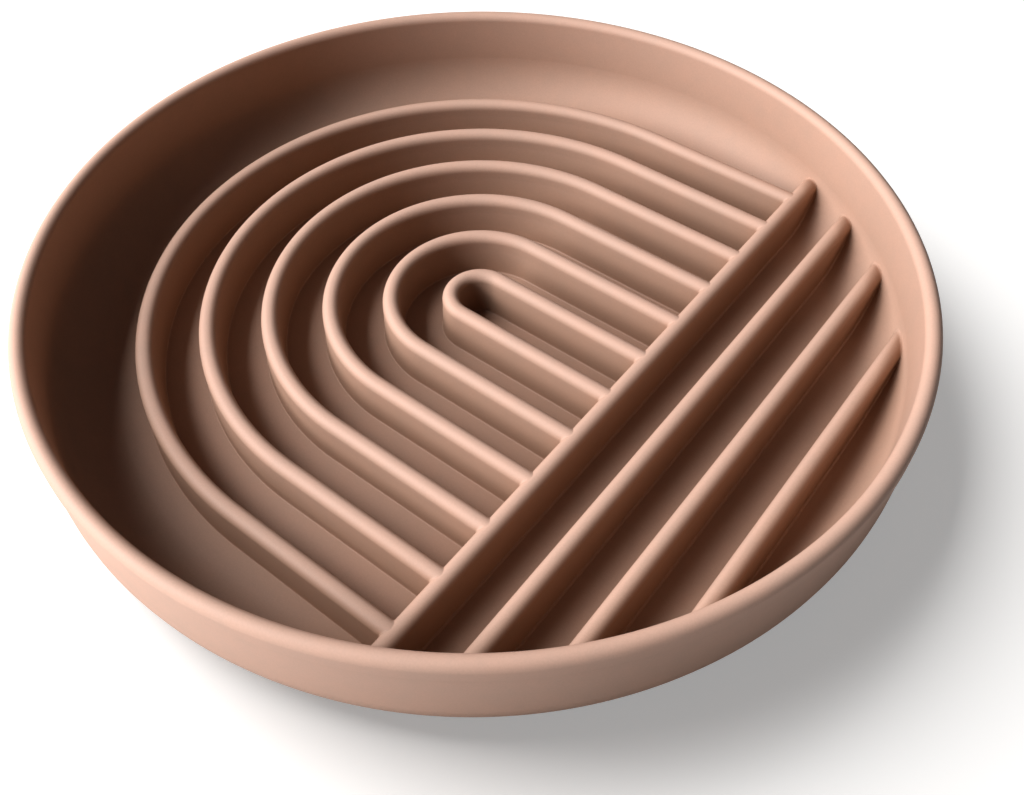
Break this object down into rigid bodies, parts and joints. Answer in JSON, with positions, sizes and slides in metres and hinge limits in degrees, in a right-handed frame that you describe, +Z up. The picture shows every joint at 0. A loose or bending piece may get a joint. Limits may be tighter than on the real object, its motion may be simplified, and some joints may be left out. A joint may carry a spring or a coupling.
{
  "type": "slow feeder bowl",
  "caption": "Shallow round pet bowl whose floor is a maze of nested U-shaped ridges that end on a straight divider, with parallel straight ridges beyond it.",
  "frame": {"origin": "centre of the base, on the surface that the bowl stands on", "axes": "+Z up out of the bowl; +X along the legs of the arches, from their bends towards the divider; +Y along the divider and the straight ridges"},
  "size_m": [0.22, 0.22, 0.035],
  "materials": {
    "bowl_shell": "fine matt moulding, dusty mauve",
    "ridges": "fine matt moulding, dusty mauve, the same as the bowl",
    "non_slip_ring": "matt moulded elastomer, grey brown"
  },
  "bodies": {
    "root": {"bowl_shell": "bowl_shell", "arch_ridge_1": "ridges", "arch_ridge_2": "ridges", "arch_ridge_3": "ridges", "arch_ridge_4": "ridges", "arch_ridge_5": "ridges", "arch_ridge_6": "ridges", "divider_ridge": "ridges", "straight_ridge_1": "ridges", "straight_ridge_2": "ridges", "straight_ridge_3": "ridges", "non_slip_ring": "non_slip_ring"}
  },
  "joints": []
}
